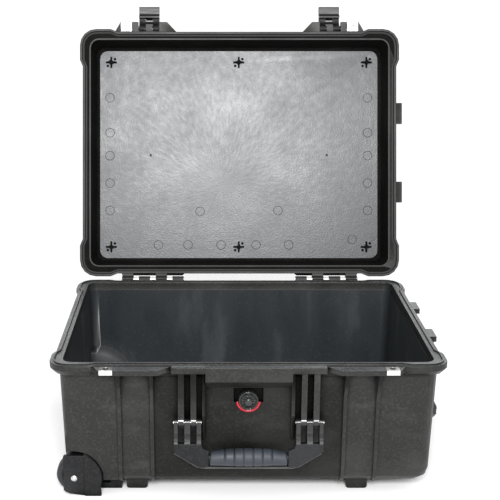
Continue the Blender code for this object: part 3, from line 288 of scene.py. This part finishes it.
def panel_plastic():
    """The lid's inner panel: the lid's plastic painted paler, as lit, speckled, with flow marks that fan
    out from its middle and dark lines of painted shade along the sink marks.
    """
    look = Shader("lid_panel_plastic", PANEL_COLOUR, PANEL_ROUGH)
    look.soft_edges(0.0009)
    centre = look.add("ShaderNodeVectorMath", operation="SUBTRACT")
    look.join(look.place, centre.inputs[0])
    centre.inputs[1].default_value = PANEL_MIDDLE
    apart = look.add("ShaderNodeSeparateXYZ")
    look.join(centre.outputs["Vector"], apart.inputs["Vector"])
    angle = look.math("ARCTAN2", apart.outputs["Z"], apart.outputs["X"])
    length = look.add("ShaderNodeVectorMath", operation="LENGTH")
    look.join(centre.outputs["Vector"], length.inputs[0])
    fan = look.add("ShaderNodeCombineXYZ")
    look.join(look.math("MULTIPLY", angle, 7.0), fan.inputs["X"])
    look.join(look.math("MULTIPLY", length.outputs["Value"], 22.0), fan.inputs["Y"])
    rays = look.noise(3.2, 6.0, place=fan.outputs["Vector"])
    clouds = look.noise(15.0, 5.0)
    speckle = look.noise(260.0, 4.0)
    # Pale colour for the flow rays, clouds and speckle: partly random tone and partly painted light on
    # the lit panel
    pale, dark = (0.048, 0.056, 0.066), (0.003, 0.003, 0.003)
    look.tint(look.ramp(rays, 0.42, 0.75, 0.0, 0.32), pale)
    look.tint(look.ramp(clouds, 0.42, 0.75, 0.0, 0.40), pale)
    look.tint(look.ramp(speckle, 0.52, 0.66, 0.0, 0.40), pale)
    look.tint(look.ramp(look.noise(330.0, 4.0), 0.54, 0.68, 0.0, 0.50), dark)
    # Painted shade: dark lines along the sink marks
    for x in PANEL_SINK_LINES:
        off = look.math("ABSOLUTE", look.math("SUBTRACT", apart.outputs["X"], x), 0.0)
        look.tint(look.ramp(off, 0.0004, 0.0018, 0.35, 0.0), dark)
    mixed = look.math("ADD", look.math("MULTIPLY", rays, 0.5), look.math("MULTIPLY", clouds, 0.5))
    look.rough(look.ramp(mixed, 0.35, 0.65, PANEL_ROUGH - 0.04, PANEL_ROUGH + 0.06))
    look.bump(look.noise(420.0, 3.0), 0.28, 0.0006)
    look.bump(look.noise(70.0, 4.0), 0.10, 0.0012)
    return look.material


def inner_plastic():
    """The walls and floor inside the base: the shell's plastic painted lighter, as lit, smoother, with
    pale smudges and painted highlights on edges.
    """
    look = Shader("base_inner_plastic", INNER_COLOUR, 0.40)
    edge = look.soft_edges(0.0010)
    light = (0.085, 0.095, 0.105)
    marks = look.noise(20.0, 5.0, stretch=(1.0, 1.0, 0.30))
    look.tint(look.ramp(marks, 0.56, 0.76, 0.0, 0.30), light)
    # Painted highlight: edges lightened where the bevel rounds them
    look.tint(look.math("MULTIPLY", edge, 0.30), light)
    look.tint(look.ramp(look.noise(300.0, 3.0), 0.60, 0.74, 0.0, 0.25), light)
    look.rough(look.ramp(marks, 0.30, 0.72, 0.34, 0.50))
    look.bump(look.noise(1100.0, 2.0), 0.20, 0.0002)
    look.bump(look.noise(55.0, 3.0), 0.08, 0.0010)
    return look.material


looks = {
    "shell": moulded_plastic("shell_plastic", SHELL_COLOUR, 0.42, grain=0.45, specular=0.30),
    # Painted shade: a darker, rougher copy of the shell plastic for the lid's inner walls and the valve
    # recess; the post dots use it too
    "black_and_painted_shade": moulded_plastic("black_and_painted_shade_plastic", (0.0025, 0.0022, 0.0020), 0.72, 0.30, 0.08),
    # Painted highlight: a lighter copy of the shell plastic for the bead along the front wall under the
    # handle
    "bead_highlight": moulded_plastic("bead_highlight_plastic", (0.040, 0.042, 0.040), 0.40, 0.20, 0.30),
    # Painted highlight: a lighter, glossier copy of the shell plastic for the rim's top faces
    "rim_top_highlight": moulded_plastic("rim_top_highlight_plastic", (0.046, 0.048, 0.049), 0.30, 0.30, 0.70),
    # Painted shade: a darker, rougher copy of the shell plastic for the recessed front wall behind the
    # handle
    "front_wall_shade": moulded_plastic("front_wall_shade_plastic", (0.0056, 0.0056, 0.0050), 0.50, 0.30, 0.16),
    "valve_dome": gloss_plastic("valve_dome_plastic", (0.012, 0.013, 0.013), 0.14),
    "inside": inner_plastic(),
    "panel": panel_plastic(),
    "moulding": moulded_plastic("moulded_nylon", MOULDING_COLOUR, 0.36, 0.20, specular=0.20),
    "gloss_black": gloss_plastic("gloss_latch_plastic", (0.0035, 0.0035, 0.0038), 0.40),
    "gloss_knuckle": gloss_plastic("gloss_knuckle_plastic", (0.007, 0.007, 0.008), 0.20),
    "grip_rubber": rubber("grip_rubber_soft", (0.018, 0.022, 0.030), 0.56),
    "wheel_rubber": rubber("wheel_tread", (0.008, 0.009, 0.012), 0.50),
    # Painted shade: dark rubber laid in the grip's grooves
    "seal": rubber("groove_shade_rubber", (0.008, 0.008, 0.008), 0.60),
    "steel": brushed_metal("stainless_steel", (0.62, 0.62, 0.61), 0.30),
    "aluminium": brushed_metal("aluminium_bar", (0.58, 0.59, 0.60), 0.34),
    "red_seal": rubber("red_ring_rubber", (0.30, 0.006, 0.014), 0.16, grain=0.05),
    "button": gloss_plastic("button_plastic", (0.045, 0.047, 0.050), 0.36),
}


# ---------------------------------------------------------------- pieces


def add_object(name, bm, look, body):
    mesh = bpy.data.meshes.new(name)
    bmesh.ops.recalc_face_normals(bm, faces=bm.faces)
    bm.to_mesh(mesh)
    bm.free()
    made = bpy.data.objects.new(name, mesh)
    bpy.context.scene.collection.objects.link(made)
    mesh.materials.append(looks[look])
    mesh.shade_smooth()
    mesh.set_sharp_from_angle(angle=math.radians(38))
    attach(made, body)
    return made


def smoothed(node_name, slot):
    """A copy of a CAD piece with its round faces shaded smooth and its flat ones kept flat."""
    node = nodes[node_name]
    bm = bmesh.new()
    bm.from_mesh(node.data)
    bmesh.ops.remove_doubles(bm, verts=bm.verts, dist=1e-5)
    bmesh.ops.dissolve_limit(bm, angle_limit=math.radians(0.5), verts=bm.verts, edges=bm.edges)
    made = add_object(f"{node_name}_look", bm, slot, node["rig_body"])
    weighted = made.modifiers.new("weighted_normals", "WEIGHTED_NORMAL")
    weighted.keep_sharp = True
    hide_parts(node_name)
    return made


def second_look(made, look, chosen):
    """Gives another look to the faces whose middle and normal pass the test."""
    mesh = made.data
    mesh.materials.append(looks[look])
    number = len(mesh.materials) - 1
    for face in mesh.polygons:
        if chosen(face):
            face.material_index = number


def line_shells(made_of):
    """Second looks: panel and walls of the lid, inside of the base, rim, front wall, knuckles. The panel
    and the base's inside are painted lighter; the lid's walls, front wall and valve recess are painted
    shade; the rim top and bead carry painted highlights.
    """
    to_closed = lid_to_row().inverted()
    turn = to_closed.to_3x3()

    def on_panel(face):
        x, y, z = to_closed @ face.center
        level = abs((turn @ face.normal).z) > 0.9
        inside = abs(x) < RIM_X - PANEL_INSET and abs(y) < RIM_Y - PANEL_INSET
        return level and inside and abs(z - LID_PANEL_Z) < 0.0004

    # The lid's inner walls, given the darker copy as painted shade
    def on_lid_wall(face):
        x, y, z = to_closed @ face.center
        inside = abs(x) < RIM_X - LID_WALL_INSET and abs(y) < RIM_Y - LID_WALL_INSET
        return inside and RIM_Z + 0.0006 < z < LID_PANEL_Z + 0.0010 and not on_panel(face)

    def in_base(face):
        x, y, z = face.center - CASE_SHIFT
        between = abs(x) < RIM_X - BASE_WALL_INSET and abs(y) < RIM_Y - BASE_WALL_INSET
        inside = between and FLOOR_Z - 0.0010 < z < BASE_WALL_TOP
        outward = face.normal.x * x / RIM_X + face.normal.y * y / RIM_Y
        return inside and (outward < -0.02 or face.normal.z > 0.9)

    def on_knuckle(face):
        x, y, z = face.center - CASE_SHIFT
        near_front = math.hypot(y + HANDLE_Y, z - HANDLE_Z) < KNUCKLE_REACH
        near_end = math.hypot(x - SIDE_HANDLE_X, z - HANDLE_Z) < KNUCKLE_REACH
        in_front = near_front and abs(x) < FRONT_HANDLE_HALF
        return in_front or (near_end and abs(y) < SIDE_HANDLE_HALF)

    def on_finger(face):
        return face.center.z > FINGER_FOOT_Z

    # The valve recess, given the darker copy as painted shade
    def in_recess(face):
        x, y, z = face.center - CASE_SHIFT
        level = RECESS_LOW < z < RECESS_HIGH
        return abs(x) < RECESS_HALF and level and RECESS_FRONT < y < RECESS_BACK

    # The bead, given the lighter copy as painted highlight
    def on_bead(face):
        x, y, z = face.center - CASE_SHIFT
        rise = max(0.0, abs(x) - BEAD_BEND_X) * BEAD_SLOPE
        on_line = abs(x) < BEAD_HALF and abs(z - BEAD_Z - rise) < BEAD_WIDTH
        return on_line and BEAD_FRONT < y < BEAD_BACK

    # The base rim's top faces, given the lighter copy as painted highlight
    def on_rim_top(face):
        return face.normal.z > 0.85 and face.center.z > RIM_TOP_Z

    # The recessed front wall, given the darker copy as painted shade
    def on_front_wall(face):
        x, y, z = face.center - CASE_SHIFT
        level = FRONT_WALL_LOW < z < FRONT_WALL_HIGH
        at_front = FRONT_WALL_FRONT < y < FRONT_WALL_BACK and face.normal.y < -0.25
        return abs(x) < FRONT_WALL_HALF and level and at_front

    for node_name, look, chosen in (
        ("base_shell", "rim_top_highlight", on_rim_top),
        ("base_shell", "front_wall_shade", on_front_wall),
        ("base_shell", "black_and_painted_shade", in_recess),
        ("base_shell", "bead_highlight", on_bead),
        ("base_shell", "gloss_knuckle", on_knuckle),
        ("front_handle_frame", "gloss_knuckle", on_finger),
        ("side_handle_frame", "gloss_knuckle", on_finger),
        ("lid_shell", "panel", on_panel),
        ("lid_shell", "black_and_painted_shade", on_lid_wall),
        ("base_shell", "inside", in_base),
    ):
        second_look(made_of[node_name], look, chosen)


def lid_to_row():
    """Matrix from the closed case's coordinates to the open lid's place."""
    turn = Matrix.Rotation(-LID_OPEN, 4, "X")
    to_hinge = Matrix.Translation(-HINGE) @ Matrix.Translation(CASE_SHIFT)
    return Matrix.Translation(HINGE) @ turn @ to_hinge


def add_turned(bm, profile, matrix, sides=48):
    """Adds the surface of (radius, height) pairs turned round the matrix's Z axis."""
    rings = []
    for radius, height in profile:
        ring = []
        for i in range(sides):
            turn = 2 * math.pi * i / sides
            point = Vector((radius * math.cos(turn), radius * math.sin(turn), height))
            ring.append(bm.verts.new(matrix @ point))
        rings.append(ring)
    join_rings(bm, rings)
    return rings


def join_pair(bm, low, high):
    """Faces between two rings of as many points."""
    faces = []
    for i in range(len(low)):
        j = (i + 1) % len(low)
        faces.append(bm.faces.new((low[i], low[j], high[j], high[i])))
    return faces


def join_rings(bm, rings):
    for low, high in zip(rings, rings[1:]):
        join_pair(bm, low, high)


def grip(name, node_name, centre, half, turn_to, body):
    """Soft handle sleeve, arched on top and straight below, with grooves round it painted darker as
    shade.
    """
    grooves = 6 if half > 0.05 else 4
    places = [(k - (grooves - 1) / 2) * GROOVE_PITCH for k in range(grooves)]
    steps, sides, span = 88, 40, half - GRIP_END_LENGTH
    rows = [(GRIP_BORE_R, -half, False), (GRIP_END_R - GRIP_END_BEVEL, -half, False)]
    for step in range(steps + 1):
        along = -span + 2 * span * step / steps
        radius = GRIP_END_R + (GRIP_R - GRIP_END_R) * (1 - (abs(along) / span) ** 2)
        depth = max(0.0, 1 - (min(abs(along - place) for place in places) / GROOVE_HALF) ** 2)
        rows.append((radius - GROOVE_DEPTH * depth, along, depth > 0.3))
    rows += [(GRIP_END_R - GRIP_END_BEVEL, half, False), (GRIP_BORE_R, half, False)]
    bm = bmesh.new()
    rings = []
    for radius, along, _ in rows:
        lower = max(0.0, GRIP_R - GROOVE_DEPTH - radius) if radius > GRIP_BORE_R else 0.0
        ring = []
        for i in range(sides):
            turn = 2 * math.pi * i / sides
            out, up = radius * math.cos(turn), radius * math.sin(turn) - lower
            local = (along, out, up) if turn_to == "X" else (out, along, up)
            ring.append(bm.verts.new(centre + Vector(local)))
        rings.append(ring)
    join_pair(bm, rings[-1], rings[0])
    for number, (low, high) in enumerate(zip(rings, rings[1:])):
        for face in join_pair(bm, low, high):
            # Groove faces take the dark rubber: painted shade in the grooves
            face.material_index = 1 if rows[number][2] and rows[number + 1][2] else 0
    made = add_object(name, bm, "grip_rubber", body)
    made.data.materials.append(looks["seal"])
    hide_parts(node_name)


def valve():
    """Purge valve: a domed cap with a rim, a central button and twelve low vanes."""
    turn_to = Matrix.Rotation(math.radians(90), 4, "X")
    place = Matrix.Translation(VALVE) @ turn_to
    profile = [(0.0070, -0.0200), (0.0070, 0.0), (0.0142, 0.0), (0.0142, 0.0034), (0.0137, 0.0042)]
    profile += [(0.0127, 0.0044), (0.0119, 0.0038), (0.0106, 0.0056), (0.0084, 0.0070)]
    profile += [(0.0066, 0.0080), (0.0060, 0.0094), (0.0050, 0.0106), (0.0030, 0.0111), (0.0004, 0.0112)]
    bm = bmesh.new()
    rings = add_turned(bm, profile, place, sides=64)
    bm.faces.new(rings[0])
    bm.faces.new(rings[-1])
    for k in range(12):
        turn = Matrix.Rotation(2 * math.pi * k / 12, 4, "Z")
        wedge = []
        for radius, height in ((0.0064, 0.0096), (0.0122, 0.0056)):
            for across, down in ((-0.0007, 0.0024), (-0.0004, 0.0), (0.0004, 0.0), (0.0007, 0.0024)):
                wedge.append(bm.verts.new(place @ turn @ Vector((radius, across, height - down))))
        bm.faces.new(wedge[:4])
        bm.faces.new(wedge[4:])
        join_pair(bm, wedge[:4], wedge[4:])
    made = add_object("purge_valve_dome", bm, "valve_dome", "base")
    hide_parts("purge_valve_body")


def wheel(end, side):
    """Tyre with two shallow tread grooves and rounded shoulders."""
    centre = CASE_SHIFT + Vector((WHEEL_X, side * WHEEL_Y, WHEEL_Z))
    place = Matrix.Translation(centre) @ Matrix.Rotation(math.radians(90), 4, "X")
    shoulder = [(0.0178, 0.0105), (0.0208, 0.0115), (0.0240, 0.0112), (0.0261, 0.0096), (0.0271, 0.0070)]
    profile = [(radius, -height) for radius, height in shoulder]
    bottom = WHEEL_R - TREAD_GROOVE_DEPTH
    for middle in (-0.0028, 0.0028):
        profile += [(WHEEL_R, middle - 0.0010), (bottom, middle - 0.0005)]
        profile += [(bottom, middle + 0.0005), (WHEEL_R, middle + 0.0010)]
    profile += shoulder[::-1]
    bm = bmesh.new()
    rings = add_turned(bm, profile, place, sides=64)
    join_pair(bm, rings[-1], rings[0])
    made = add_object(f"wheel_tread_{end}", bm, "wheel_rubber", f"wheel_{end}")
    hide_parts(f"wheel_tyre_{end}")


def ring_mark(bm, matrix, radius, width=0.0005, height=0.00025, sides=24):
    """A very low moulded ring on a flat surface at the matrix's place."""
    half = [(radius - width, 0.00002), (radius - width / 2, height)]
    profile = half + [(2 * radius - r, h) for r, h in reversed(half)]
    add_turned(bm, profile, matrix, sides)


def lid_marks():
    """Round ejector marks and two sprue dots on the lid's inner panel."""
    to_row = lid_to_row()
    bm = bmesh.new()
    places = [(side * MARK_SIDE_X, y) for side in (-1, 1) for y in MARK_SIDE_ROWS]
    places += [(x, MARK_HINGE_Y) for x in MARK_HINGE_COLUMNS] + LOOSE_MARKS
    down = Matrix.Rotation(math.pi, 4, "X")
    for x, y in places:
        ring_mark(bm, to_row @ Matrix.Translation((x, y, LID_PANEL_Z)) @ down, MARK_R)
    for x in (-SPRUE_X, SPRUE_X):
        dot = to_row @ Matrix.Translation((x, SPRUE_Y, LID_PANEL_Z)) @ down
        rings = add_turned(bm, [(0.0021, 0.0), (0.0018, 0.0006), (0.0008, 0.0009)], dot, sides=16)
        bm.faces.new(rings[-1])
    add_object("lid_panel_marks", bm, "shell", "lid")


def post_dots():
    """Two small dark ejector pads beside each screw post of the lid's inner panel."""
    to_row = lid_to_row()
    down = Matrix.Rotation(math.pi, 4, "X")
    bm = bmesh.new()
    for x in (-POST_X, 0.0, POST_X):
        for y in (-POST_Y, POST_Y):
            for step in (-1, 1):
                spot = Matrix.Translation((x + step * 0.0066, y - step * 0.0062, LID_PANEL_Z))
                rings = add_turned(bm, [(0.0024, 0.0), (0.0020, 0.0008)], to_row @ spot @ down, 16)
                bm.faces.new(rings[-1])
    add_object("lid_post_dots", bm, "black_and_painted_shade", "lid")


def valve_ring():
    """Rounded red seal round the lower half of the purge valve."""
    wide, deep, path, steps, sides = 0.0018, 0.0011, 0.0163, 40, 12
    centre = VALVE + Vector((0.0, -deep, 0.0))
    bm = bmesh.new()
    rings = []
    for step in range(steps + 1):
        turn = math.radians(-8 - 164 * step / steps)
        outward = Vector((math.cos(turn), 0.0, math.sin(turn)))
        ring = []
        for i in range(sides):
            around = 2 * math.pi * i / sides
            spot = outward * (path + wide * math.cos(around))
            ring.append(bm.verts.new(centre + spot + Vector((0.0, -deep * math.sin(around), 0.0))))
        rings.append(ring)
    join_rings(bm, rings)
    bm.faces.new(rings[0])
    bm.faces.new(rings[-1])
    made = add_object("purge_valve_seal", bm, "red_seal", "base")
    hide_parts("purge_valve_ring")


# ---------------------------------------------------------------- stage


def add_stage():
    """Pale floor that curves up into a backdrop."""
    bm = bmesh.new()
    half_width, front, back, bend, top = 6.0, -5.0, 3.0, 1.0, 5.0
    profile = [(front, 0.0), (back, 0.0)]
    for step in range(1, 9):
        turn = math.pi / 2 * step / 8
        profile.append((back + bend * math.sin(turn), bend * (1 - math.cos(turn))))
    profile.append((back + bend, top))
    rows = [[bm.verts.new((x, y, z - 0.0004)) for y, z in profile] for x in (-half_width, half_width)]
    for i in range(len(profile) - 1):
        bm.faces.new((rows[0][i], rows[1][i], rows[1][i + 1], rows[0][i + 1]))
    mesh = bpy.data.meshes.new("studio_floor")
    bm.to_mesh(mesh)
    bm.free()
    mesh.shade_smooth()
    floor = bpy.data.objects.new("studio_floor", mesh)
    bpy.context.scene.collection.objects.link(floor)
    look = Shader("studio_white", (0.97, 0.97, 0.97), 0.9)
    look.tint(look.ramp(look.noise(3.0, 2.0), 0.3, 0.7, 0.0, 0.3), (0.95, 0.95, 0.95))
    mesh.materials.append(look.material)


def add_area_light(name, place, aim, width, height, power):
    data = bpy.data.lights.new(name, "AREA")
    data.shape = "RECTANGLE"
    data.size, data.size_y = width, height
    data.energy = power
    light = bpy.data.objects.new(name, data)
    bpy.context.scene.collection.objects.link(light)
    light.location = place
    light.rotation_euler = (Vector(aim) - Vector(place)).to_track_quat("-Z", "Y").to_euler()


def add_lights():
    world = bpy.data.worlds.new("studio_world")
    bpy.context.scene.world = world
    world.use_nodes = True
    background = world.node_tree.nodes["Background"]
    background.inputs["Color"].default_value = (1.0, 1.0, 1.0, 1.0)
    background.inputs["Strength"].default_value = 0.95
    add_area_light("key", KEY_PLACE, (0.0, 0.15, 0.40), 1.1, 0.7, KEY_WATTS)


def add_camera():
    data = bpy.data.cameras.new("camera")
    data.sensor_width = SENSOR_MM
    data.lens = LENS_MM
    data.shift_x = PICTURE_SHIFT
    camera = bpy.data.objects.new("camera", data)
    camera.location = CAMERA_PLACE
    camera.rotation_euler = (math.radians(90) - CAMERA_DOWN, 0.0, 0.0)
    bpy.context.scene.collection.objects.link(camera)
    bpy.context.scene.camera = camera


slot_of = {entry["node"]: entry["material_slot"] for entry in frame["record"]["subparts"]}
special = {
    "front_handle_grip",
    "side_handle_grip",
    "purge_valve_body",
    "purge_valve_ring",
    "wheel_tyre_front",
    "wheel_tyre_rear",
}
made_of = {}
for node_name in sorted(nodes):
    if node_name not in special:
        made_of[node_name] = smoothed(node_name, slot_of[node_name])
line_shells(made_of)
grip("front_grip_sleeve", "front_handle_grip", FRONT_GRIP, FRONT_GRIP_HALF, "X", "front_handle")
grip("side_grip_sleeve", "side_handle_grip", SIDE_GRIP, SIDE_GRIP_HALF, "Y", "side_handle")
valve()
valve_ring()
wheel("front", -1)
wheel("rear", 1)
lid_marks()
post_dots()
add_stage()
add_lights()
add_camera()
bpy.context.scene.view_settings.view_transform = "Standard"
